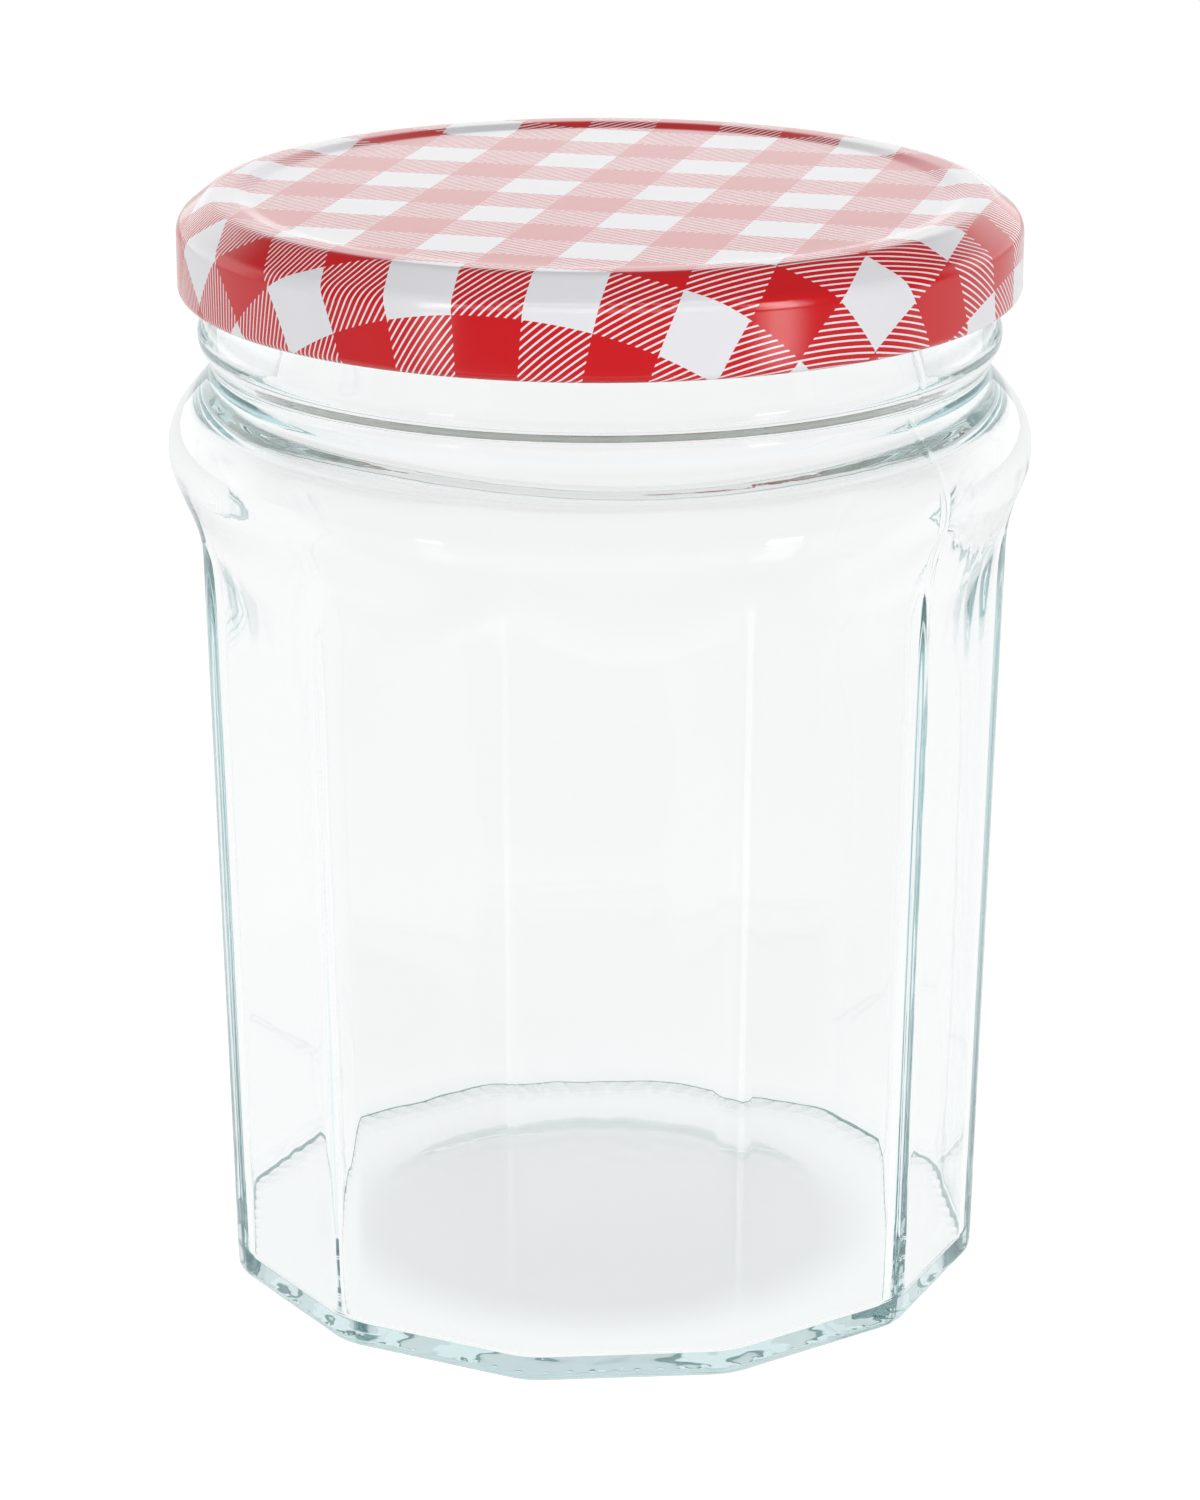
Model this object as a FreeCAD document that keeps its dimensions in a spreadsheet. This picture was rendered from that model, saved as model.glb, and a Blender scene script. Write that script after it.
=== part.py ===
"""Twelve-sided glass preserving jar with a twist-off sheet-metal lid, as a parametric document.

Frame: millimetres, +Z up, origin at the middle of the base, on the plane that the jar stands on.
One flat of the twelve-sided body faces -Y. The jar is one piece of glass, open at the top and empty.
The lid is one piece of drawn and rolled sheet, closed on the jar: its channel sits on the glass lip,
and its lugs lie just under the glass threads.
"""

import FreeCAD, Part

import math
import os

import Sketcher

# Every size that can be set by itself, in millimetres, degrees or a plain count.
SIZES = {
    # glass, overall
    "glass_height": 112.7,
    "base_apothem": 38.85,
    "shoulder_apothem": 40.5,
    "facet_count": 12,
    "facet_edge_round": 7.0,
    "heel_round": 1.2,
    # glass, shoulder and neck: drops are measured down from the lower edge of the lid
    "shoulder_projection": 4.5,
    "shoulder_tip_drop": 14.55,
    "shoulder_round": 7.0,
    "shoulder_foot_drop": 26.5,
    "shoulder_foot_bury": 0.5,
    "facet_bury": 5.0,
    "neck_inset": 0.8,
    "neck_drop": 7.25,
    "neck_round": 0.9,
    "bead_projection": 2.0,
    "bead_drop": 4.6,
    "bead_round": 2.6,
    # glass, finish
    "finish_radius": 39.0,
    "finish_foot_lift": 0.9,
    "finish_foot_round": 1.0,
    "lip_width": 3.0,
    "lip_round": 1.1,
    "thread_depth": 1.4,
    "thread_root": 2.2,
    "thread_crest": 1.2,
    "thread_arc": 40.0,
    "thread_rise": 3.0,
    "thread_count": 6,
    "thread_bury": 0.7,
    # glass, inside
    "wall": 2.6,
    "floor_thickness": 2.0,
    "floor_round": 1.2,
    "inner_foot_round": 12.0,
    "inner_shoulder_gap": 3.6,
    "inner_shoulder_round": 5.0,
    "inner_neck_drop": 8.7,
    "inner_neck_round": 4.0,
    "cut_overshoot": 1.0,
    "recess_radius": 27.4,
    "recess_step": 0.2,
    "recess_depth": 0.5,
    # lid
    "sheet": 0.3,
    "lid_height": 9.8,
    "panel_drop": 0.45,
    "panel_step": 1.7,
    "panel_round": 3.0,
    "land_inner": 0.9,
    "land_outer": 1.66,
    "crest_round": 2.2,
    "cone_angle": 38.0,
    "shoulder_bend": 2.0,
    "curl_diameter": 1.8,
    "curl_turn": 255.0,
    # fits between lid and glass
    "thread_gap": 0.3,
    "lug_gap": 0.3,
    "lug_lift": 0.6,
    "lug_height": 1.0,
    "lug_arc": 16.0,
    "lug_bury": 0.45,
    "engage_gap": 0.1,
}

doc = FreeCAD.newDocument("twist_off_jar")
sheet = doc.addObject("Spreadsheet::Sheet", "Sizes")
for row, (alias, value) in enumerate(SIZES.items(), start=1):
    sheet.set(f"A{row}", alias)
    sheet.set(f"B{row}", str(value))
    sheet.setAlias(f"B{row}", alias)
doc.recompute()

# Sizes that follow from the driving ones, as expressions of the sheet's cells.
THREAD_RADIUS = "(Sizes.finish_radius + Sizes.thread_depth)"
MOUTH_RADIUS = "(Sizes.finish_radius - Sizes.lip_width)"
LIP_MIDDLE = "(Sizes.finish_radius - Sizes.lip_width / 2)"
CURL_RADIUS = "(Sizes.curl_diameter / 2)"
LID_RADIUS = f"({THREAD_RADIUS} + Sizes.thread_gap + Sizes.curl_diameter)"
CREST = "(Sizes.glass_height + Sizes.sheet)"
LID_FOOT = f"({CREST} - Sizes.lid_height)"
LUG_TOP = f"({LID_FOOT} + Sizes.lug_lift + Sizes.lug_height)"
SHOULDER_FOOT = f"({LID_FOOT} - Sizes.shoulder_foot_drop)"
SHOULDER_TIP = f"({LID_FOOT} - Sizes.shoulder_tip_drop)"
SHOULDER_RADIUS = "(Sizes.shoulder_apothem + Sizes.shoulder_projection)"
TAPER = f"((Sizes.shoulder_apothem - Sizes.base_apothem) / {SHOULDER_FOOT})"

# How sketches number their own axes and the points of their geometry.
X_AXIS, Y_AXIS = -1, -2
START, END, CENTRE = 1, 2, 3

# Distance under which two heights count as the same, in millimetres.
SAME = 1e-3


def number(expression):
    """The value of an expression of the sheet's cells."""
    value = sheet.evalExpression(expression)
    return float(getattr(value, "Value", value))


def plane(body, role):
    """One of the body's own origin planes or axes."""
    return next(item for item in body.Origin.OriginFeatures if item.Role == role)


def new_sketch(body, name, role, lift=None):
    """A sketch on an origin plane of its body, raised by an expression if one is given."""
    sketch = body.newObject("Sketcher::SketchObject", name)
    sketch.AttachmentSupport = (plane(body, role), [""])
    sketch.MapMode = "FlatFace"
    if lift:
        sketch.setExpression("AttachmentOffset.Base.z", lift)
    return sketch


def bind(sketch, constraint, expression):
    """Adds a dimension to the sketch and ties it to an expression of the sheet's cells."""
    index = sketch.addConstraint(constraint)
    sketch.setExpression(f"Constraints[{index}]", expression)


def pin(sketch, geometry, point, x, y):
    """Places one point of a sketch at expressions for its two distances from the origin."""
    if number(x) == 0.0:
        sketch.addConstraint(Sketcher.Constraint("PointOnObject", geometry, point, Y_AXIS))
    else:
        bind(sketch, Sketcher.Constraint("DistanceX", X_AXIS, START, geometry, point, number(x)), x)
    if number(y) == 0.0:
        sketch.addConstraint(Sketcher.Constraint("PointOnObject", geometry, point, X_AXIS))
    else:
        bind(sketch, Sketcher.Constraint("DistanceY", X_AXIS, START, geometry, point, number(y)), y)


def corner_cut(before, corner, after, radius):
    """Where a round of this radius leaves the two straight sides of a corner, and its centre."""
    to_before = (before - corner).normalize()
    to_after = (after - corner).normalize()
    half = to_before.getAngle(to_after) / 2
    reach = radius / math.tan(half)
    centre = corner + (to_before + to_after).normalize() * (radius / math.sin(half))
    return corner + to_before * reach, corner + to_after * reach, centre


def outline(sketch, corners):
    """Draws a closed outline of straight sides through corners (x, y, round), each an expression.

    A corner with a round keeps its point, which its two sides still aim at, and gets a tangent arc.
    """
    points = [FreeCAD.Vector(number(x), number(y), 0) for x, y, _ in corners]
    count = len(corners)
    cuts = []
    for index, (_, _, rounding) in enumerate(corners):
        if rounding is None:
            cuts.append((points[index], points[index], None))
        else:
            cuts.append(corner_cut(points[index - 1], points[index], points[(index + 1) % count],
                                   number(rounding)))
    sides = []
    for index in range(count):
        start, end = cuts[index][1], cuts[(index + 1) % count][0]
        sides.append(sketch.addGeometry(Part.LineSegment(start, end), False))
    for index, (x, y, rounding) in enumerate(corners):
        before, after = sides[index - 1], sides[index]
        if rounding is None:
            sketch.addConstraint(Sketcher.Constraint("Coincident", before, END, after, START))
            pin(sketch, after, START, x, y)
            continue
        start, end, centre = cuts[index]
        middle = centre + (points[index] - centre).normalize() * number(rounding)
        arc = sketch.addGeometry(Part.Arc(start, middle, end), False)
        # an arc of a sketch always runs anticlockwise, so which end meets which side is looked up
        first = sketch.getPoint(arc, START)
        clockwise = first.distanceToPoint(start) > first.distanceToPoint(end)
        near, far = (END, START) if clockwise else (START, END)
        sketch.addConstraint(Sketcher.Constraint("Tangent", before, END, arc, near))
        sketch.addConstraint(Sketcher.Constraint("Tangent", arc, far, after, START))
        bind(sketch, Sketcher.Constraint("Radius", arc, number(rounding)), rounding)
        tip = sketch.addGeometry(Part.Point(points[index]), True)
        sketch.addConstraint(Sketcher.Constraint("PointOnObject", tip, START, before))
        sketch.addConstraint(Sketcher.Constraint("PointOnObject", tip, START, after))
        pin(sketch, tip, START, x, y)


def turn(body, kind, name, sketch):
    """Revolves a sketch of the XZ plane all the way round the Z axis, adding or cutting."""
    feature = body.newObject(f"PartDesign::{kind}", name)
    feature.Profile = sketch
    feature.ReferenceAxis = (sketch, ["V_Axis"])
    feature.Angle = 360.0
    sketch.Visibility = False
    doc.recompute()
    return feature


def polar_copies(body, name, feature, count):
    """Repeats a feature round the Z axis, a number of times that an expression gives."""
    pattern = body.newObject("PartDesign::PolarPattern", name)
    pattern.Originals = [feature]
    pattern.Axis = (plane(body, "Z_Axis"), [""])
    pattern.Angle = 360.0
    pattern.setExpression("Occurrences", count)
    body.Tip = pattern
    doc.recompute()


def polygon_sketch(body, name):
    """The base's regular outline, with one side across the -Y axis, sized by its apothem."""
    sketch = new_sketch(body, name, "XY_Plane")
    count = int(number("Sizes.facet_count"))
    circumradius = "Sizes.base_apothem / cos(180 / Sizes.facet_count)"
    radius = number(circumradius)
    half_turn = math.pi / count
    angles = [-math.pi / 2 - half_turn + 2 * half_turn * index for index in range(count)]
    points = [FreeCAD.Vector(radius * math.cos(angle), radius * math.sin(angle), 0) for angle in angles]
    circle = sketch.addGeometry(Part.Circle(FreeCAD.Vector(), FreeCAD.Vector(0, 0, 1), radius), True)
    sketch.addConstraint(Sketcher.Constraint("Coincident", circle, CENTRE, X_AXIS, START))
    bind(sketch, Sketcher.Constraint("Radius", circle, radius), circumradius)
    sides = [
        sketch.addGeometry(Part.LineSegment(points[index], points[(index + 1) % count]), False)
        for index in range(count)
    ]
    for index, side in enumerate(sides):
        following = sides[(index + 1) % count]
        sketch.addConstraint(Sketcher.Constraint("Coincident", side, END, following, START))
        sketch.addConstraint(Sketcher.Constraint("PointOnObject", side, START, circle))
        if index:
            sketch.addConstraint(Sketcher.Constraint("Equal", sides[0], side))
    sketch.addConstraint(Sketcher.Constraint("Horizontal", sides[0]))
    return sketch


def fillet(body, name, base, test, radius):
    """Rounds the edges of a feature that pass a test, by a radius that an expression gives."""
    feature = body.newObject("PartDesign::Fillet", name)
    numbered = enumerate(base.Shape.Edges, start=1)
    feature.Base = (base, [f"Edge{index}" for index, edge in numbered if test(edge)])
    feature.setExpression("Radius", radius)
    base.Visibility = False
    doc.recompute()
    return feature


def faceted_body(body):
    """The tapered twelve-sided body with soft upright edges and a round heel."""
    pad = body.newObject("PartDesign::Pad", "facets")
    pad.Profile = polygon_sketch(body, "base_outline")
    pad.setExpression("Length", f"{SHOULDER_FOOT} + Sizes.facet_bury")
    pad.setExpression("TaperAngle", f"atan({TAPER})")
    doc.recompute()

    def upright(edge):
        return edge.BoundBox.ZLength > number(SHOULDER_FOOT)

    def on_the_ground(edge):
        return edge.BoundBox.ZMax < SAME

    soft = fillet(body, "soft_uprights", pad, upright, "Sizes.facet_edge_round")
    fillet(body, "heel", soft, on_the_ground, "Sizes.heel_round")


def shoulder_and_neck(body):
    """The round bulge above the facets, the neck groove, the bead and the plain finish wall."""
    sketch = new_sketch(body, "shoulder_outline", "XZ_Plane")
    outline(sketch, [
        ("0", SHOULDER_FOOT, None),
        ("Sizes.shoulder_apothem - Sizes.shoulder_foot_bury", SHOULDER_FOOT, None),
        (SHOULDER_RADIUS, SHOULDER_TIP, "Sizes.shoulder_round"),
        ("Sizes.finish_radius - Sizes.neck_inset", f"{LID_FOOT} - Sizes.neck_drop", "Sizes.neck_round"),
        ("Sizes.finish_radius + Sizes.bead_projection", f"{LID_FOOT} - Sizes.bead_drop", "Sizes.bead_round"),
        ("Sizes.finish_radius", f"{LID_FOOT} + Sizes.finish_foot_lift", "Sizes.finish_foot_round"),
        ("Sizes.finish_radius", "Sizes.glass_height", "Sizes.lip_round"),
        ("0", "Sizes.glass_height", None),
    ])
    turn(body, "Revolution", "shoulder_and_neck", sketch)


def inside(body):
    """The hollow: floor, tapered wall, the inside of the bulge, and the mouth with its round lip."""
    sketch = new_sketch(body, "hollow_outline", "XZ_Plane")
    above = "Sizes.glass_height + Sizes.cut_overshoot"
    outline(sketch, [
        ("0", "Sizes.floor_thickness", None),
        (f"Sizes.base_apothem - Sizes.wall + {TAPER} * Sizes.floor_thickness", "Sizes.floor_thickness",
         "Sizes.floor_round"),
        ("Sizes.shoulder_apothem - Sizes.wall", SHOULDER_FOOT, "Sizes.inner_foot_round"),
        (f"{SHOULDER_RADIUS} - Sizes.inner_shoulder_gap", SHOULDER_TIP, "Sizes.inner_shoulder_round"),
        (MOUTH_RADIUS, f"{LID_FOOT} - Sizes.inner_neck_drop", "Sizes.inner_neck_round"),
        (MOUTH_RADIUS, above, None),
        ("0", above, None),
    ])
    hollow = turn(body, "Groove", "hollow", sketch)

    def inner_lip(edge):
        at_the_top = edge.BoundBox.ZMin > number("Sizes.glass_height") - SAME
        return at_the_top and edge.Curve.Radius < number(LIP_MIDDLE)

    fillet(body, "mouth", hollow, inner_lip, "Sizes.lip_round")


def base_recess(body):
    """The shallow dished recess that keeps the middle of the base off the table."""
    sketch = new_sketch(body, "recess_outline", "XZ_Plane")
    outline(sketch, [
        ("0", "-Sizes.cut_overshoot", None),
        ("Sizes.recess_radius", "-Sizes.cut_overshoot", None),
        ("Sizes.recess_radius", "0", None),
        ("Sizes.recess_radius - Sizes.recess_step", "Sizes.recess_step", None),
        ("0", "Sizes.recess_depth", None),
    ])
    turn(body, "Groove", "recess", sketch)


def threads(body):
    """The short rising threads of the finish, whose low ends lie just above the lid's lugs."""
    sketch = new_sketch(body, "thread_section", "XZ_Plane")
    low = f"{LUG_TOP} + Sizes.engage_gap"
    inmost = "Sizes.finish_radius - Sizes.thread_bury"
    outline(sketch, [
        (inmost, low, None),
        (THREAD_RADIUS, low, None),
        (THREAD_RADIUS, f"{low} + Sizes.thread_crest", None),
        ("Sizes.finish_radius", f"{low} + Sizes.thread_root", None),
        (inmost, f"{low} + Sizes.thread_root", None),
    ])
    helix = body.newObject("PartDesign::AdditiveHelix", "thread")
    helix.Profile = sketch
    helix.ReferenceAxis = (sketch, ["V_Axis"])
    helix.Mode = "pitch-height-angle"
    helix.setExpression("Pitch", "Sizes.thread_rise * 360 / Sizes.thread_arc")
    helix.setExpression("Height", "Sizes.thread_rise")
    sketch.Visibility = False
    doc.recompute()
    polar_copies(body, "threads", helix, "Sizes.thread_count")


def make_jar():
    """The glass."""
    body = doc.addObject("PartDesign::Body", "jar")
    body.Label = "jar"
    faceted_body(body)
    shoulder_and_neck(body)
    inside(body)
    base_recess(body)
    threads(body)
    return body


def lid_sheet(body):
    """The drawn sheet: panel, raised channel over the lip, sloping shoulder, skirt and rolled edge."""
    sketch = new_sketch(body, "lid_section", "XZ_Plane")
    step_slope = "atan(Sizes.panel_drop / Sizes.panel_step)"
    step_shift = f"Sizes.sheet * tan({step_slope} / 2)"
    step_top = f"({LIP_MIDDLE} - Sizes.land_inner)"
    crest_edge = f"({LIP_MIDDLE} + Sizes.land_outer)"
    panel_top = f"({CREST} - Sizes.panel_drop)"
    skirt_top = f"({CREST} - ({LID_RADIUS} - {crest_edge}) * tan(Sizes.cone_angle))"
    curl_height = f"({LID_FOOT} + {CURL_RADIUS})"
    # outer side, from the middle to the foot of the skirt, then the inner side back to the middle
    outline(sketch, [
        ("0", panel_top, None),
        (f"{step_top} - Sizes.panel_step", panel_top, "Sizes.panel_round"),
        (step_top, CREST, "Sizes.panel_round"),
        (crest_edge, CREST, "Sizes.crest_round"),
        (LID_RADIUS, skirt_top, "Sizes.shoulder_bend"),
        (LID_RADIUS, curl_height, None),
        (f"{LID_RADIUS} - Sizes.sheet", curl_height, None),
        (f"{LID_RADIUS} - Sizes.sheet", f"{skirt_top} - Sizes.sheet * tan(45 - Sizes.cone_angle / 2)",
         "Sizes.shoulder_bend - Sizes.sheet"),
        (f"{crest_edge} - Sizes.sheet * tan(Sizes.cone_angle / 2)", "Sizes.glass_height",
         "Sizes.crest_round - Sizes.sheet"),
        (f"{step_top} + {step_shift}", "Sizes.glass_height", "Sizes.panel_round - Sizes.sheet"),
        (f"{step_top} - Sizes.panel_step + {step_shift}", f"{panel_top} - Sizes.sheet",
         "Sizes.panel_round + Sizes.sheet"),
        ("0", f"{panel_top} - Sizes.sheet", None),
    ])
    turn(body, "Revolution", "sheet_metal", sketch)


def ring_sector(sketch, x, y, radii, start_angle, end_angle):
    """Draws a sector of a ring about (x, y): two arcs, and two sides that aim at the centre."""
    centre = FreeCAD.Vector(number(x), number(y), 0)
    arcs = []
    for radius in radii:
        circle = Part.Circle(centre, FreeCAD.Vector(0, 0, 1), number(radius))
        arc = sketch.addGeometry(Part.ArcOfCircle(circle, start_angle, end_angle), False)
        bind(sketch, Sketcher.Constraint("Radius", arc, number(radius)), radius)
        arcs.append(arc)
    outer, inner = arcs
    pin(sketch, outer, CENTRE, x, y)
    sketch.addConstraint(Sketcher.Constraint("Coincident", outer, CENTRE, inner, CENTRE))
    sides = []
    for point in (START, END):
        ends = sketch.getPoint(outer, point), sketch.getPoint(inner, point)
        side = sketch.addGeometry(Part.LineSegment(*ends), False)
        sketch.addConstraint(Sketcher.Constraint("Coincident", side, START, outer, point))
        sketch.addConstraint(Sketcher.Constraint("Coincident", side, END, inner, point))
        sketch.addConstraint(Sketcher.Constraint("PointOnObject", outer, CENTRE, side))
        sides.append(side)
    return outer, sides


def rolled_edge(body):
    """The raw edge of the skirt rolled inwards into a hollow bead."""
    sketch = new_sketch(body, "curl_section", "XZ_Plane")
    middle = f"({LID_RADIUS} - {CURL_RADIUS})", f"({LID_FOOT} + {CURL_RADIUS})"
    radii = CURL_RADIUS, f"({CURL_RADIUS} - Sizes.sheet)"
    turned = math.radians(number("Sizes.curl_turn"))
    outer, (_, level_side) = ring_sector(sketch, *middle, radii, -turned, 0)
    sketch.addConstraint(Sketcher.Constraint("Horizontal", level_side))
    bind(sketch, Sketcher.Constraint("Angle", outer, turned), "Sizes.curl_turn")
    turn(body, "Revolution", "rolled_edge", sketch)


def lugs(body):
    """The tongues pressed inwards from the rolled edge, which hook under the glass threads."""
    sketch = new_sketch(body, "lug_outline", "XY_Plane", f"{LID_FOOT} + Sizes.lug_lift")
    radii = f"{LID_RADIUS} - Sizes.curl_diameter + Sizes.lug_bury", "Sizes.finish_radius + Sizes.lug_gap"
    spread = math.radians(number("Sizes.lug_arc"))
    outer, _ = ring_sector(sketch, "0", "0", radii, -spread / 2, spread / 2)
    sketch.addConstraint(Sketcher.Constraint("Symmetric", outer, START, outer, END, X_AXIS))
    bind(sketch, Sketcher.Constraint("Angle", outer, spread), "Sizes.lug_arc")
    pad = body.newObject("PartDesign::Pad", "lug")
    pad.Profile = sketch
    pad.setExpression("Length", "Sizes.lug_height")
    sketch.Visibility = False
    doc.recompute()
    polar_copies(body, "lugs", pad, "Sizes.thread_count")


def make_lid():
    """The lid."""
    body = doc.addObject("PartDesign::Body", "lid")
    body.Label = "lid"
    lid_sheet(body)
    rolled_edge(body)
    lugs(body)
    return body


def check(parts):
    """Stops if any object of the document failed or any part isn't one sound solid."""
    failed = [item.Name for item in doc.Objects if {"Invalid", "Error"} & set(item.State)]
    if failed:
        raise RuntimeError(f"objects that failed to build: {failed}")
    for part in parts:
        shape = part.Shape
        if shape.isNull() or not shape.isValid() or len(shape.Solids) != 1:
            raise RuntimeError(f"{part.Label} isn't one sound solid")


parts = [make_jar(), make_lid()]
doc.recompute()
check(parts)
os.makedirs("parts", exist_ok=True)
for part in parts:
    part.Shape.exportStep(f"parts/{part.Label}.step")
    print(part.Label, round(part.Shape.Volume / 1000, 3), "cm3", part.Shape.BoundBox)
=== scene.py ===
"""Looks of the twist-off glass jar: clear pressed glass, and a sheet-metal lid printed in red gingham.

Metres, +Z up, origin at the middle of the base. Lengths are written in millimetres times MM.
"""

import math

import bpy
import numpy as np
from mathutils import Matrix, Vector


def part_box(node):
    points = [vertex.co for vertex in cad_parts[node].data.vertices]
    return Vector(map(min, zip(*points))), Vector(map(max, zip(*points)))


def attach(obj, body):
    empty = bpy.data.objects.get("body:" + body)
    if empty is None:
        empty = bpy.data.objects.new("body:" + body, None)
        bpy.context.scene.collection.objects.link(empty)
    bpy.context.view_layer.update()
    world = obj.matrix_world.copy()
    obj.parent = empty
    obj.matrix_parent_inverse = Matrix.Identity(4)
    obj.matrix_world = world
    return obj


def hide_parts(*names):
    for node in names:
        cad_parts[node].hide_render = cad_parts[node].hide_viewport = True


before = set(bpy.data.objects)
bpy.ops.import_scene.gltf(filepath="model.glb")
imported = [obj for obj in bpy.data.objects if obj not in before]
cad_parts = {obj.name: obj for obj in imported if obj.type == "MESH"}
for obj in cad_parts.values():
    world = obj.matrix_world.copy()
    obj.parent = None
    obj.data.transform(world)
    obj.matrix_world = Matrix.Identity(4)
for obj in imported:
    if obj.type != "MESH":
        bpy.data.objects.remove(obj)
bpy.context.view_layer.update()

MM = 0.001
FACETS = 12
FACET_ANGLE = 2 * math.pi / FACETS

# Sizes that the jar and the lid share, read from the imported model.
jar_low, jar_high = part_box("jar")
lid_low, lid_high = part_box("lid")
GLASS_TOP = jar_high.z
LID_FOOT = lid_low.z
LID_TOP = lid_high.z
LID_RADIUS = lid_high.x

# Glass.
BASE_APOTHEM = 38.85 * MM
SHOULDER_APOTHEM = 40.5 * MM
EDGE_ROUND = 7 * MM
INNER_EDGE_ROUND = 6 * MM
HEEL_ROUND = 1.2 * MM
SHOULDER_FOOT = LID_FOOT - 26.5 * MM
SHOULDER_TIP = LID_FOOT - 14.55 * MM
SHOULDER_RADIUS = 45 * MM
FACET_END = 85 * MM
FACET_BLEND = 1 * MM
SHOULDER_RUN = 16 * MM
FINISH_RADIUS = 39 * MM
LIP_WIDTH = 3 * MM
LIP_ROUND = 1.1 * MM
GROOVE_DEPTH = 0.3 * MM
GROOVE_DROP = 7.25 * MM
BEAD_PROJECTION = 2 * MM
BEAD_DROP = 4.6 * MM
WALL = 2.6 * MM
SHOULDER_WALL = 3.6 * MM
NECK_BEND = LID_FOOT - 10.6 * MM
FLOOR = 2.0 * MM
RECESS_RADIUS = 27.4 * MM
RECESS_STEP = 0.2 * MM
RECESS_SLOPE = 5 * MM
RECESS_DEPTH = 0.5 * MM
FLOOR_CORNER_ROUND = 0.8 * MM
SEAM = 0.05 * MM
RIDGE = 0.4 * MM
RIDGE_HEIGHT = LID_FOOT - 11.5 * MM

# Threads. Each starts at the low height and rises along its arc.
THREADS = 6
THREAD_DEPTH = 1.4 * MM
THREAD_LOW = 104.9 * MM
THREAD_RISE = 3 * MM
THREAD_ARC = math.radians(40)
THREAD_END = math.radians(3)

# Row of pressed marks that the jar stands on.
MARKS_PER_FACET = 8
MARK_RING = 36.2 * MM
MARK_LENGTH = 1.7 * MM
MARK_DEPTH = 0.015 * MM
MARK_HALF_WIDTH = math.radians(0.3)
MARK_FADE = math.radians(0.62)

# Lid.
LID_COLUMNS = 288
SHEET = 0.3 * MM
PANEL_DROP = 0.45 * MM
PANEL_STEP = 1.7 * MM
PANEL_ROUND = 3 * MM
CREST_ROUND = 2.2 * MM
SKIRT_ROUND = 2 * MM
CONE = math.radians(38)
CURL_RADIUS = 0.9 * MM
CURL_TURN = math.radians(255)

# Print: squares of the flat sheet before it was drawn, in the lid's own plane.
SQUARE = 7.03 * MM
PRINT_TURN = math.radians(19.1)
PRINT_CENTRE = Vector((-14.89 * MM, -11.92 * MM))
HATCH_LINES = 8
HATCH_SHARE = 0.3


# Shapes

def rounded_line(corners, turn_step, length_step):
    """Points (r, z) along straight runs through corners (r, z, round), with tangent arcs at the rounds."""
    corners = [(Vector((r, z)), rounding) for r, z, rounding in corners]
    points = [corners[0][0]]

    def run_to(target):
        start = points[-1]
        pieces = max(1, math.ceil((target - start).length / length_step))
        points.extend(start.lerp(target, step / pieces) for step in range(1, pieces + 1))

    for (before, _), (corner, rounding), (after, _) in zip(corners, corners[1:], corners[2:]):
        to_before = (before - corner).normalized()
        to_after = (after - corner).normalized()
        if not rounding:
            run_to(corner)
            continue
        half = to_before.angle(to_after) / 2
        reach = rounding / math.tan(half)
        run_to(corner + to_before * reach)
        centre = corner + (to_before + to_after).normalized() * (rounding / math.sin(half))
        start, end = corner + to_before * reach - centre, corner + to_after * reach - centre
        turn = start.angle(end)
        pieces = max(2, math.ceil(turn / turn_step))
        for step in range(1, pieces + 1):
            share = step / pieces
            blend = start * math.sin((1 - share) * turn) + end * math.sin(share * turn)
            points.append(centre + blend / math.sin(turn))
    run_to(corners[-1][0])
    return [(point.x, point.y) for point in points]


def finer(line, height, reach, step):
    """The same line with more points where it is near a height."""
    points = [line[0]]
    for (r0, z0), (r1, z1) in zip(line, line[1:]):
        near = min(abs(z0 - height), abs(z1 - height)) < reach
        pieces = math.ceil(math.hypot(r1 - r0, z1 - z0) / step) if near else 1
        points += [(r0 + (r1 - r0) * k / pieces, z0 + (z1 - z0) * k / pieces) for k in range(1, pieces + 1)]
    return points


def facet_radius(angle, apothem, rounding):
    """Distance from the axis to a rounded regular outline of this apothem, with a flat facing -Y."""
    off_middle = np.mod(angle + math.pi / 2 + FACET_ANGLE / 2, FACET_ANGLE) - FACET_ANGLE / 2
    off_corner = FACET_ANGLE / 2 - np.abs(off_middle)
    arc_middle = (apothem - rounding) / math.cos(FACET_ANGLE / 2)
    arc_start = FACET_ANGLE / 2 - math.atan2((apothem - rounding) * math.tan(FACET_ANGLE / 2), apothem)
    inside = np.maximum(rounding ** 2 - (arc_middle * np.sin(off_corner)) ** 2, 0)
    on_arc = arc_middle * np.cos(off_corner) + np.sqrt(inside)
    return np.where(off_corner < arc_start, on_arc, apothem / np.cos(off_middle))


def soft_outline(angles, apothem, rounding):
    """The rounded regular outline, which goes over into a circle nearer the axis."""
    circle = 1 - smooth_step(apothem, 24 * MM, 35 * MM)
    return facet_radius(angles, apothem, rounding + (0.98 * apothem - rounding) * circle)


def smooth_max(first, second, blend):
    """The larger of two, with the change from one to the other rounded over a width."""
    closeness = np.maximum(blend - np.abs(first - second), 0) / blend
    return np.maximum(first, second) + closeness ** 2 * blend / 4


def smooth_step(value, low, high):
    share = np.clip((value - low) / (high - low), 0, 1)
    return share * share * (3 - 2 * share)


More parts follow.
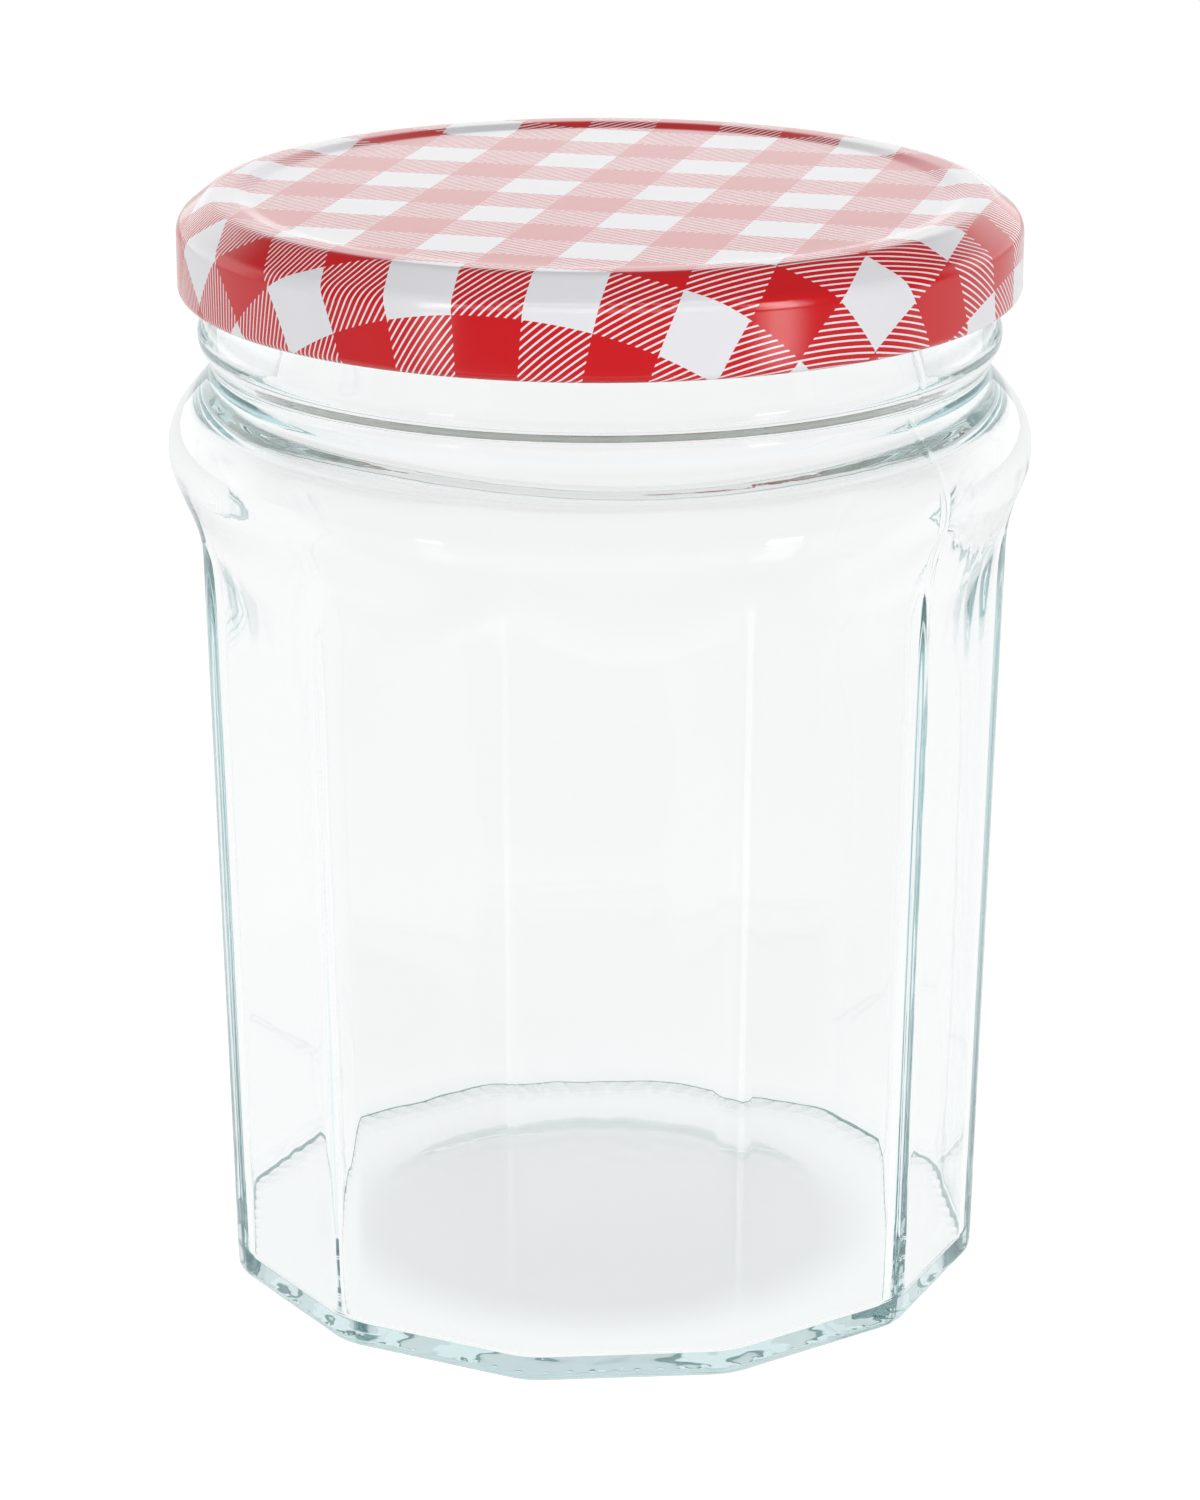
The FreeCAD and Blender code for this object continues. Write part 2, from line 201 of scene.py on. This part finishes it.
def skin(name, rows, columns, closed_ends=(True, True)):
    """A mesh from rows of points round the Z axis. Closed ends come together in one point on the axis."""
    points = np.concatenate(rows)
    faces = []
    for row in range(len(rows) - 1):
        first, second = row * columns, (row + 1) * columns
        for column in range(columns):
            after = (column + 1) % columns
            faces.append((first + column, first + after, second + after, second + column))
    points = [tuple(point) for point in points]
    for closed, row, turned in ((closed_ends[0], 0, False), (closed_ends[1], len(rows) - 1, True)):
        if closed:
            middle = len(points)
            points.append((0, 0, float(rows[row][:, 2].mean())))
            for column in range(columns):
                pair = row * columns + column, row * columns + (column + 1) % columns
                faces.append((middle, *(pair if turned else pair[::-1])))
    mesh = bpy.data.meshes.new(name)
    mesh.from_pydata(points, [], faces)
    mesh.polygons.foreach_set("use_smooth", [True] * len(mesh.polygons))
    mesh.update()
    piece = bpy.data.objects.new(name, mesh)
    bpy.context.scene.collection.objects.link(piece)
    return piece


def mark_angles():
    """Where the pressed marks lie along one side of the base, from the side's middle."""
    pitch = 2 * MARK_RING * math.tan(FACET_ANGLE / 2) / MARKS_PER_FACET
    offsets = (np.arange(MARKS_PER_FACET) - (MARKS_PER_FACET - 1) / 2) * pitch
    return np.arctan(offsets / MARK_RING)


def glass_columns():
    """Angles of the glass mesh's columns: four to a mark, with more on the soft corners and in between."""
    marks = mark_angles()
    local = [mark + shift for mark in marks for shift in
             (-MARK_FADE, -MARK_HALF_WIDTH, MARK_HALF_WIDTH, MARK_FADE)]
    local += list((marks[1:] + marks[:-1]) / 2)
    corner = FACET_ANGLE / 2
    for shift in (0.45, 0.9):
        local += [corner - math.radians(shift), math.radians(shift) - corner]
    local.append(-corner)
    local = np.sort(np.array(local))
    return np.concatenate([local - math.pi / 2 + FACET_ANGLE * side for side in range(FACETS)])


def ring(radius, height, angles):
    """One row of points, from a radius and a height that may change with the angle."""
    radius = np.broadcast_to(radius, angles.shape)
    height = np.broadcast_to(height, angles.shape)
    return np.stack([radius * np.cos(angles), radius * np.sin(angles), height], axis=1)


def base_rows(angles):
    """Underside of the glass, from the middle out: shallow dome, step, standing ring with marks, heel."""
    rows = []
    for share in (0.12, 0.3, 0.5, 0.68, 0.82, 0.92, 1):
        radius = (RECESS_RADIUS - RECESS_SLOPE) * share
        rows.append(ring(radius, RECESS_STEP + (RECESS_DEPTH - RECESS_STEP) * (1 - share ** 2), angles))
    for share in (0.15, 0.35, 0.6, 0.85, 1):
        radius = RECESS_RADIUS - RECESS_SLOPE * (1 - share)
        rows.append(ring(radius, RECESS_STEP * (1 - smooth_step(share, 0, 1)), angles))
    ring_edge = BASE_APOTHEM - HEEL_ROUND
    fade = 0.25 * MM
    inner_end, outer_end = MARK_RING - MARK_LENGTH / 2, MARK_RING + MARK_LENGTH / 2
    apothems = [30 * MM, 33 * MM, inner_end - fade, inner_end - fade / 2, inner_end, MARK_RING,
                outer_end, outer_end + fade / 2, outer_end + fade, ring_edge]
    side = np.round((angles + math.pi / 2) / FACET_ANGLE) * FACET_ANGLE - math.pi / 2
    nearest = np.min(np.abs((angles - side)[:, None] - mark_angles()[None, :]), axis=1)
    across = 1 - smooth_step(nearest, MARK_HALF_WIDTH, MARK_FADE)
    for apothem in apothems:
        along = smooth_step(apothem, inner_end - fade, inner_end) \
            * (1 - smooth_step(apothem, outer_end, outer_end + fade))
        rows.append(ring(soft_outline(angles, apothem, EDGE_ROUND), MARK_DEPTH * across * along, angles))
    for step in range(1, 8):
        turn = math.radians(90) * step / 7
        apothem = ring_edge + HEEL_ROUND * math.sin(turn)
        height = HEEL_ROUND * (1 - math.cos(turn))
        rows.append(ring(facet_radius(angles, apothem, EDGE_ROUND), height, angles))
    return rows


def thread_height(angles, height):
    """How far the glass threads stand out from the plain finish wall."""
    pitch = 2 * math.pi / THREADS
    along = np.mod(angles + 0.5 * math.radians(8), pitch)
    up = height - (THREAD_LOW + THREAD_RISE * np.clip(along / THREAD_ARC, 0, 1))
    section = smooth_step(up, -0.15 * MM, 0.15 * MM) * (1 - smooth_step(up, 1.2 * MM, 2.2 * MM))
    ends = smooth_step(along, 0, THREAD_END) * (1 - smooth_step(along, THREAD_ARC - THREAD_END, THREAD_ARC))
    return THREAD_DEPTH * section * ends


def outer_rows(angles):
    """Outside of the glass above the heel: twelve flats that run into the round shoulder, neck and finish."""
    slope = (SHOULDER_RADIUS - SHOULDER_APOTHEM + 0.5 * MM) / (SHOULDER_TIP - SHOULDER_FOOT)
    revolved = rounded_line([
        (SHOULDER_APOTHEM - 0.5 * MM - slope * SHOULDER_RUN, SHOULDER_FOOT - SHOULDER_RUN, None),
        (SHOULDER_RADIUS, SHOULDER_TIP, 7 * MM),
        (FINISH_RADIUS - GROOVE_DEPTH, LID_FOOT - GROOVE_DROP, 2 * MM),
        (FINISH_RADIUS + BEAD_PROJECTION, LID_FOOT - BEAD_DROP, 2.6 * MM),
        (FINISH_RADIUS, LID_FOOT + 0.9 * MM, 1 * MM),
        (FINISH_RADIUS, GLASS_TOP, LIP_ROUND),
        (FINISH_RADIUS - LIP_WIDTH / 2, GLASS_TOP, None),
    ], math.radians(11), 2.2 * MM)
    revolved = finer(revolved, 107 * MM, 3 * MM, 0.7 * MM)
    rows = []
    seam = np.abs(np.mod(angles + math.pi / 4 + math.pi / 2, math.pi) - math.pi / 2)
    seam_ridge = SEAM * (1 - smooth_step(seam, 0, math.radians(0.9)))
    heights = list(np.linspace(3, 60, 8) * MM)
    low_end = revolved[0][1]
    for radius, height in [(0, height) for height in heights if height < low_end] + revolved:
        if height < FACET_END:
            apothem = BASE_APOTHEM + (SHOULDER_APOTHEM - BASE_APOTHEM) * height / SHOULDER_FOOT
            flats = facet_radius(angles, apothem, EDGE_ROUND)
            radius = smooth_max(flats, radius, FACET_BLEND)
        else:
            radius = radius + thread_height(angles, height)
        fades = 1 - smooth_step(height, 101 * MM, 103 * MM)
        rows.append(ring(radius + seam_ridge * fades, height, angles))
    return rows


def inner_rows(angles):
    """Inside of the glass, from the lip down. The wall follows the outer flats, a little unevenly."""
    foot, tip = SHOULDER_APOTHEM - WALL, SHOULDER_RADIUS - SHOULDER_WALL
    slope = (tip - foot) / (SHOULDER_TIP - SHOULDER_FOOT)
    mouth = FINISH_RADIUS - LIP_WIDTH
    revolved = rounded_line([
        (FINISH_RADIUS - LIP_WIDTH / 2, GLASS_TOP, None),
        (mouth, GLASS_TOP, LIP_ROUND),
        (mouth, NECK_BEND, 1.2 * MM),
        (tip, SHOULDER_TIP, 4 * MM),
        (foot - slope * SHOULDER_RUN, SHOULDER_FOOT - SHOULDER_RUN, None),
    ], math.radians(10), 3 * MM)
    wave = 0.25 * MM * np.sin(2 * angles + 1) + 0.15 * MM * np.sin(5 * angles)
    rows = []
    for radius, height in finer(revolved[1:], RIDGE_HEIGHT, 1.2 * MM, 0.4 * MM) \
            + [(0, height) for height in np.linspace(58, 8, 8) * MM]:
        if height < FACET_END:
            apothem = BASE_APOTHEM - WALL + (SHOULDER_APOTHEM - BASE_APOTHEM) * height / SHOULDER_FOOT
            flats = facet_radius(angles, apothem, INNER_EDGE_ROUND)
            radius = smooth_max(flats, radius, 3 * FACET_BLEND)
        wall = smooth_step(height, 10 * MM, 40 * MM) * (1 - smooth_step(height, 88 * MM, 96 * MM))
        drift = 0.04 * MM * np.sin(3 * angles + 60 * height) + 0.01 * MM * np.sin(7 * angles - 110 * height)
        ridge = RIDGE * np.exp(-((height - RIDGE_HEIGHT - wave) / (0.6 * MM)) ** 2)
        rows.append(ring(radius + wall * drift - ridge, height, angles))
    corner = rounded_line([
        (BASE_APOTHEM - WALL, FLOOR + 2 * MM, None),
        (BASE_APOTHEM - WALL, FLOOR, FLOOR_CORNER_ROUND),
        (2 * MM, FLOOR, None),
    ], math.radians(15), 5 * MM)
    for apothem, height in corner:
        rows.append(ring(soft_outline(angles, apothem, INNER_EDGE_ROUND), height, angles))
    return rows


def make_glass():
    angles = glass_columns()
    rows = base_rows(angles) + outer_rows(angles) + inner_rows(angles)
    glass = skin("glass", rows, len(angles))
    glass.data.materials.append(glass_material())
    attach(glass, "root")
    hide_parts("jar")


def lid_outline():
    """Points (r, z) of the lid's section: out over the top, round the rolled edge, and back underneath.

    Also gives how many of the points are on the printed side.
    """
    lip_middle = FINISH_RADIUS - LIP_WIDTH / 2
    step_top, crest_edge = lip_middle - 0.9 * MM, lip_middle + 1.66 * MM
    step_foot = step_top - PANEL_STEP
    panel = LID_TOP - PANEL_DROP
    skirt_top = LID_TOP - (LID_RADIUS - crest_edge) * math.tan(CONE)
    curl_middle = Vector((LID_RADIUS - CURL_RADIUS, LID_FOOT + CURL_RADIUS))
    turn_step, length_step = math.radians(5), 2.5 * MM
    outer = rounded_line([
        (1 * MM, panel, None),
        (step_foot, panel, PANEL_ROUND),
        (step_top, LID_TOP, PANEL_ROUND),
        (crest_edge, LID_TOP, CREST_ROUND),
        (LID_RADIUS, skirt_top, SKIRT_ROUND),
        (LID_RADIUS, curl_middle.y, None),
    ], turn_step, length_step)
    below = LID_TOP - SHEET
    step_shift = SHEET * math.tan(math.atan(PANEL_DROP / PANEL_STEP) / 2)
    inner = rounded_line([
        (LID_RADIUS - SHEET, curl_middle.y, None),
        (LID_RADIUS - SHEET, skirt_top - SHEET * math.tan(math.radians(45) - CONE / 2), SKIRT_ROUND - SHEET),
        (crest_edge - SHEET * math.tan(CONE / 2), below, CREST_ROUND - SHEET),
        (step_top + step_shift, below, PANEL_ROUND - SHEET),
        (step_foot + step_shift, panel - SHEET, PANEL_ROUND + SHEET),
        (1 * MM, panel - SHEET, None),
    ], turn_step * 2, length_step * 2)
    steps = 28
    turns = [CURL_TURN * step / steps for step in range(1, steps + 1)]

    def on_curl(radius, turn):
        return curl_middle.x + radius * math.cos(turn), curl_middle.y - radius * math.sin(turn)

    outer += [on_curl(CURL_RADIUS, turn) for turn in turns]
    hollow = [on_curl(CURL_RADIUS - SHEET, turn) for turn in reversed(turns)]
    return outer + hollow + inner, len(outer)


def make_lid():
    columns = LID_COLUMNS
    angles = np.arange(columns) * 2 * math.pi / columns
    outline, printed = lid_outline()
    # Rows run from the underside's middle round to the top's middle, so that faces look outwards.
    section = outline[::-1]
    lid = skin("lid_shell", [ring(radius, height, angles) for radius, height in section], columns)
    mesh = lid.data
    mesh.materials.append(print_material())
    mesh.materials.append(enamel_material())

    # Each point's place on the flat sheet: as far from the middle as the drawn profile is long.
    flat = [outline[0][0]]
    for (r0, z0), (r1, z1) in zip(outline, outline[1:]):
        flat.append(flat[-1] + math.hypot(r1 - r0, z1 - z0))
    reach = np.repeat(np.array(flat[::-1]), columns)
    around = np.tile(angles, len(outline))
    places = np.stack([reach * np.cos(around), reach * np.sin(around)], axis=1) / SQUARE
    places = np.concatenate([places, np.zeros((2, 2))])
    corners = np.empty(len(mesh.loops), np.int32)
    mesh.loops.foreach_get("vertex_index", corners)
    flat_map = mesh.uv_layers.new(name="flat_sheet")
    flat_map.data.foreach_set("uv", places[corners].ravel())

    hidden_rows = len(outline) - printed
    for face in mesh.polygons:
        row = face.index // columns
        quads = (len(outline) - 1) * columns
        under = row < hidden_rows if face.index < quads else face.index < quads + columns
        face.material_index = 1 if under else 0
    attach(lid, "root")
    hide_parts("lid")
    return lid


# Materials

def add(tree, kind, settings=None, **inputs):
    """A node of this kind, with its settings and its inputs, each a value or another node's output."""
    node = tree.nodes.new(f"ShaderNode{kind}")
    for key, value in (settings or {}).items():
        setattr(node, key, value)
    for key, value in inputs.items():
        connect(tree, node.inputs[key.replace("_", " ")], value)
    return node


def connect(tree, socket, value):
    if isinstance(value, bpy.types.NodeSocket):
        tree.links.new(value, socket)
    else:
        socket.default_value = value


def calculate(tree, operation, *values):
    node = tree.nodes.new("ShaderNodeMath")
    node.operation = operation
    for socket, value in zip(node.inputs, values):
        connect(tree, socket, value)
    return node.outputs[0]


def between(tree, value, low, high):
    """0 below one value, 1 above another, and smooth in between."""
    node = tree.nodes.new("ShaderNodeMapRange")
    node.interpolation_type = "SMOOTHSTEP"
    connect(tree, node.inputs["Value"], value)
    node.inputs["From Min"].default_value = low
    node.inputs["From Max"].default_value = high
    return node.outputs["Result"]


def mix_colour(tree, share, first, second):
    node = tree.nodes.new("ShaderNodeMix")
    node.data_type = "RGBA"
    connect(tree, node.inputs[0], share)
    connect(tree, node.inputs[6], first)
    connect(tree, node.inputs[7], second)
    return node.outputs[2]


def new_material(name):
    material = bpy.data.materials.new(name)
    material.use_nodes = True
    tree = material.node_tree
    tree.nodes.clear()
    return material, tree


def finish_material(tree, shader):
    output = tree.nodes.new("ShaderNodeOutputMaterial")
    tree.links.new(shader, output.inputs["Surface"])
    return output


def print_material():
    """Gingham on white lacquer: white squares, red squares, and red between crossed by fine white lines."""
    material, tree = new_material("gingham_print")
    sheet = add(tree, "UVMap", {"uv_map": "flat_sheet"}).outputs[0]
    turned = PRINT_CENTRE / SQUARE
    turned.rotate(Matrix.Rotation(PRINT_TURN, 2))
    squares = add(tree, "Mapping", Vector=sheet, Rotation=(0, 0, PRINT_TURN),
                  Location=(-turned.x, -turned.y, 0)).outputs[0]
    place = add(tree, "SeparateXYZ", Vector=squares)
    along, across = place.outputs[0], place.outputs[1]
    bands = [calculate(tree, "LESS_THAN", calculate(tree, "FLOORED_MODULO", value, 2.0), 1.0)
             for value in (along, across)]
    white = calculate(tree, "MULTIPLY", *bands)
    crossed = calculate(tree, "ABSOLUTE", calculate(tree, "SUBTRACT", *bands))
    slant = calculate(tree, "MULTIPLY", calculate(tree, "SUBTRACT", along, across), float(HATCH_LINES))
    line = calculate(tree, "LESS_THAN", calculate(tree, "FLOORED_MODULO", slant, 1.0), HATCH_SHARE)
    bare = calculate(tree, "MAXIMUM", white, calculate(tree, "MULTIPLY", crossed, line))
    ink = add(tree, "TexNoise", Scale=900.0, Detail=2.0)
    red = mix_colour(tree, ink.outputs["Fac"], (0.60, 0.008, 0.012, 1), (0.66, 0.010, 0.014, 1))
    colour = mix_colour(tree, bare, red, (0.83, 0.83, 0.86, 1))
    peel = add(tree, "TexNoise", Scale=350.0, Detail=3.0)
    bump = add(tree, "Bump", Strength=0.08, Distance=0.00005, Height=peel.outputs["Fac"])
    shader = add(tree, "BsdfPrincipled", Base_Color=colour, Roughness=0.1, IOR=1.5, Normal=bump.outputs[0])
    finish_material(tree, shader.outputs[0])
    return material


def enamel_material():
    """White enamel on the underside of the lid."""
    material, tree = new_material("white_enamel")
    cloud = add(tree, "TexNoise", Scale=40.0, Detail=3.0)
    colour = mix_colour(tree, cloud.outputs["Fac"], (0.80, 0.79, 0.75, 1), (0.86, 0.85, 0.82, 1))
    shader = add(tree, "BsdfPrincipled", Base_Color=colour, Roughness=0.25, IOR=1.5)
    finish_material(tree, shader.outputs[0])
    return material


def glass_material():
    """Clear bottle glass with a green cast that deepens with the way that light goes through it."""
    material, tree = new_material("clear_glass")
    swell = add(tree, "TexNoise", Scale=30.0, Detail=0.0)
    bump = add(tree, "Bump", Strength=0.015, Distance=0.0005, Height=swell.outputs["Fac"])
    glass = add(tree, "BsdfPrincipled", Base_Color=(1, 1, 1, 1), Roughness=0.0, IOR=1.52,
                Normal=bump.outputs[0])
    glass.inputs["Transmission Weight"].default_value = 1.0
    clear = add(tree, "BsdfTransparent", Color=(0.93, 0.95, 0.945, 1))
    path = tree.nodes.new("ShaderNodeLightPath")
    passes = calculate(tree, "MAXIMUM", path.outputs["Is Shadow Ray"], path.outputs["Is Diffuse Ray"])
    shader = tree.nodes.new("ShaderNodeMixShader")
    connect(tree, shader.inputs[0], passes)
    tree.links.new(glass.outputs[0], shader.inputs[1])
    tree.links.new(clear.outputs[0], shader.inputs[2])
    output = finish_material(tree, shader.outputs[0])
    cast = add(tree, "VolumeAbsorption", Color=(0.52, 0.80, 0.82, 1), Density=9.0)
    tree.links.new(cast.outputs[0], output.inputs["Volume"])
    return material


# Stage

def floor_material():
    """Glossy white table. Lacquer and glass see it bright behind the jar, and dark on the camera's side,
    which is painted shade. Seen through the glass it also has a painted shadow under the jar.
    """
    material, tree = new_material("white_table")
    path = tree.nodes.new("ShaderNodeLightPath")
    camera, glossy, glass = (path.outputs[f"Is {kind} Ray"] for kind in ("Camera", "Glossy", "Transmission"))
    mirror = calculate(tree, "GREATER_THAN", calculate(tree, "SUBTRACT", glossy, glass), 0.5)
    place = add(tree, "TexCoord").outputs["Object"]
    toward = calculate(tree, "MULTIPLY", add(tree, "SeparateXYZ", Vector=place).outputs[1], -1.0)
    reach = add(tree, "VectorMath", {"operation": "LENGTH"}, Vector=place).outputs["Value"]
    # Painted shadow: seen through the glass, the table is darker within about 22 to 31 mm of the middle,
    # under the jar.
    under = calculate(tree, "SUBTRACT", 1.0, between(tree, reach, 0.022, 0.031))
    # Painted shade: in reflections and through the glass the table is darker ahead of the jar, on the
    # camera's side, and in reflections darker still farther off.
    ahead = between(tree, toward, 0.04, 0.07)
    far = between(tree, toward, 0.25, 0.4)
    in_mirror = calculate(tree, "SUBTRACT", 0.85, calculate(tree, "MULTIPLY", ahead, 0.45))
    in_mirror = calculate(tree, "SUBTRACT", in_mirror, calculate(tree, "MULTIPLY", far, 0.38))
    in_glass = calculate(tree, "SUBTRACT", 0.91, calculate(tree, "MULTIPLY", ahead, 0.2))
    # The painted shadow under the jar is taken off what the glass sees.
    in_glass = calculate(tree, "SUBTRACT", in_glass, calculate(tree, "MULTIPLY", under, 0.16))
    seen = calculate(tree, "ADD", camera, calculate(tree, "ADD", mirror, glass))
    other = calculate(tree, "SUBTRACT", 1.0, seen)
    level = calculate(tree, "ADD", camera, calculate(tree, "MULTIPLY", other, 0.7))
    level = calculate(tree, "ADD", level, calculate(tree, "MULTIPLY", mirror, in_mirror))
    level = calculate(tree, "ADD", level, calculate(tree, "MULTIPLY", glass, in_glass))
    white = add(tree, "Emission", Strength=calculate(tree, "MULTIPLY", level, 0.85))
    grey = calculate(tree, "MULTIPLY", level, 0.4)
    table = add(tree, "BsdfDiffuse",
                Color=add(tree, "CombineColor", Red=grey, Green=grey, Blue=grey).outputs[0])
    polished = between(tree, toward, 0.3, 0.38)
    polished = calculate(tree, "ADD", calculate(tree, "MULTIPLY", polished, 0.65),
                         calculate(tree, "MULTIPLY", ahead, 0.15))
    shine = calculate(tree, "MULTIPLY", mirror, polished)
    polish = add(tree, "BsdfGlossy", Roughness=0.12,
                 Color=add(tree, "CombineColor", Red=shine, Green=shine, Blue=shine).outputs[0])
    shader = white.outputs[0]
    for layer in (table, polish):
        both = tree.nodes.new("ShaderNodeAddShader")
        tree.links.new(shader, both.inputs[0])
        tree.links.new(layer.outputs[0], both.inputs[1])
        shader = both.outputs[0]
    finish_material(tree, shader)
    return material


def make_floor():
    mesh = bpy.data.meshes.new("floor")
    half, drop = 4.0, 0.2 * MM
    mesh.from_pydata([(-half, -half, -drop), (half, -half, -drop), (half, half, -drop), (-half, half, -drop)],
                     [], [(0, 1, 2, 3)])
    mesh.materials.append(floor_material())
    floor = bpy.data.objects.new("floor", mesh)
    bpy.context.scene.collection.objects.link(floor)
    return floor


def make_world():
    """A white studio: bright backdrop low behind the jar, dim room above and on the camera's side."""
    world = bpy.data.worlds.new("studio")
    bpy.context.scene.world = world
    world.use_nodes = True
    tree = world.node_tree
    tree.nodes.clear()
    direction = add(tree, "SeparateXYZ", Vector=add(tree, "TexCoord").outputs["Generated"])
    behind, up = direction.outputs[1], direction.outputs[2]
    low = calculate(tree, "SUBTRACT", 1.0, between(tree, up, 0.35, 0.60))
    backdrop = calculate(tree, "MULTIPLY", between(tree, behind, 0.1, 0.45), low)
    room = calculate(tree, "ADD", 0.2, calculate(tree, "MULTIPLY", backdrop, 1.32))
    front = between(tree, calculate(tree, "MULTIPLY", behind, -1.0), 0.15, 0.5)
    dim = calculate(tree, "MAXIMUM", front, between(tree, up, 0.3, 0.55))
    through = calculate(tree, "SUBTRACT", 0.92, calculate(tree, "MULTIPLY", dim, 0.22))
    path = tree.nodes.new("ShaderNodeLightPath")
    camera, glass = path.outputs["Is Camera Ray"], path.outputs["Is Transmission Ray"]
    other = calculate(tree, "SUBTRACT", 1.0, calculate(tree, "MAXIMUM", camera, glass))
    strength = calculate(tree, "ADD", camera, calculate(tree, "MULTIPLY", glass, through))
    strength = calculate(tree, "ADD", strength, calculate(tree, "MULTIPLY", other, room))
    background = add(tree, "Background", Color=(1, 1, 1, 1), Strength=strength)
    output = tree.nodes.new("ShaderNodeOutputWorld")
    tree.links.new(background.outputs[0], output.inputs["Surface"])


def add_lamp(name, place, target, width, height, radiance, lit):
    """A rectangular soft lamp of a given brightness, where 1 is as bright as white paper.

    It lights only what is in the collection lit.
    """
    lamp = bpy.data.lights.new(name, "AREA")
    lamp.shape = "RECTANGLE"
    lamp.size, lamp.size_y = width, height
    lamp.energy = radiance * math.pi * width * height
    holder = bpy.data.objects.new(name, lamp)
    holder.location = place
    holder.rotation_euler = (Vector(target) - Vector(place)).to_track_quat("-Z", "Y").to_euler()
    bpy.context.scene.collection.objects.link(holder)
    holder.visible_camera = False
    holder.light_linking.receiver_collection = lit


def make_lamps(lit):
    """Lamps for the lid and the table. The glass shows the table and the room through it instead."""
    lid = (0, 0, 100 * MM)
    add_lamp("lamp_left", (-1.04, -0.94, 0.5), lid, 0.2, 0.8, 4.0, lit)
    add_lamp("lamp_right", (0.97, -1.01, 0.5), lid, 0.26, 0.8, 8.0, lit)
    add_lamp("lamp_front", (-0.3, -1.36, 0.95), lid, 2.6, 0.6, 1.9, lit)
    add_lamp("lamp_strip", (-0.25, -1.46, 0.7), lid, 1.6, 0.025, 8.0, lit)
    add_lamp("lamp_above", (0.03, -0.68, 1.55), lid, 1.4, 0.2, 3.0, lit)


def make_camera():
    """The view of a seated person who looks a little down on the jar."""
    distance, height = 453 * MM, 204.2 * MM
    turn, pitch = math.radians(-4.3), math.radians(18.38)
    camera = bpy.data.cameras.new("camera")
    camera.sensor_width = 36
    camera.lens = 109.8
    camera.clip_start = 0.01
    holder = bpy.data.objects.new("camera", camera)
    holder.location = (distance * math.sin(turn), -distance * math.cos(turn), height)
    holder.rotation_euler = (math.radians(90) - pitch, 0, turn)
    bpy.context.scene.collection.objects.link(holder)
    bpy.context.scene.camera = holder


make_camera()
make_world()
make_glass()
lit = bpy.data.collections.new("lit_by_lamps")
lit.objects.link(make_floor())
lit.objects.link(make_lid())
make_lamps(lit)
bpy.context.scene.view_settings.view_transform = "Standard"
bpy.context.scene.cycles.max_bounces = 64
bpy.context.scene.cycles.transmission_bounces = 64
bpy.context.scene.cycles.glossy_bounces = 64
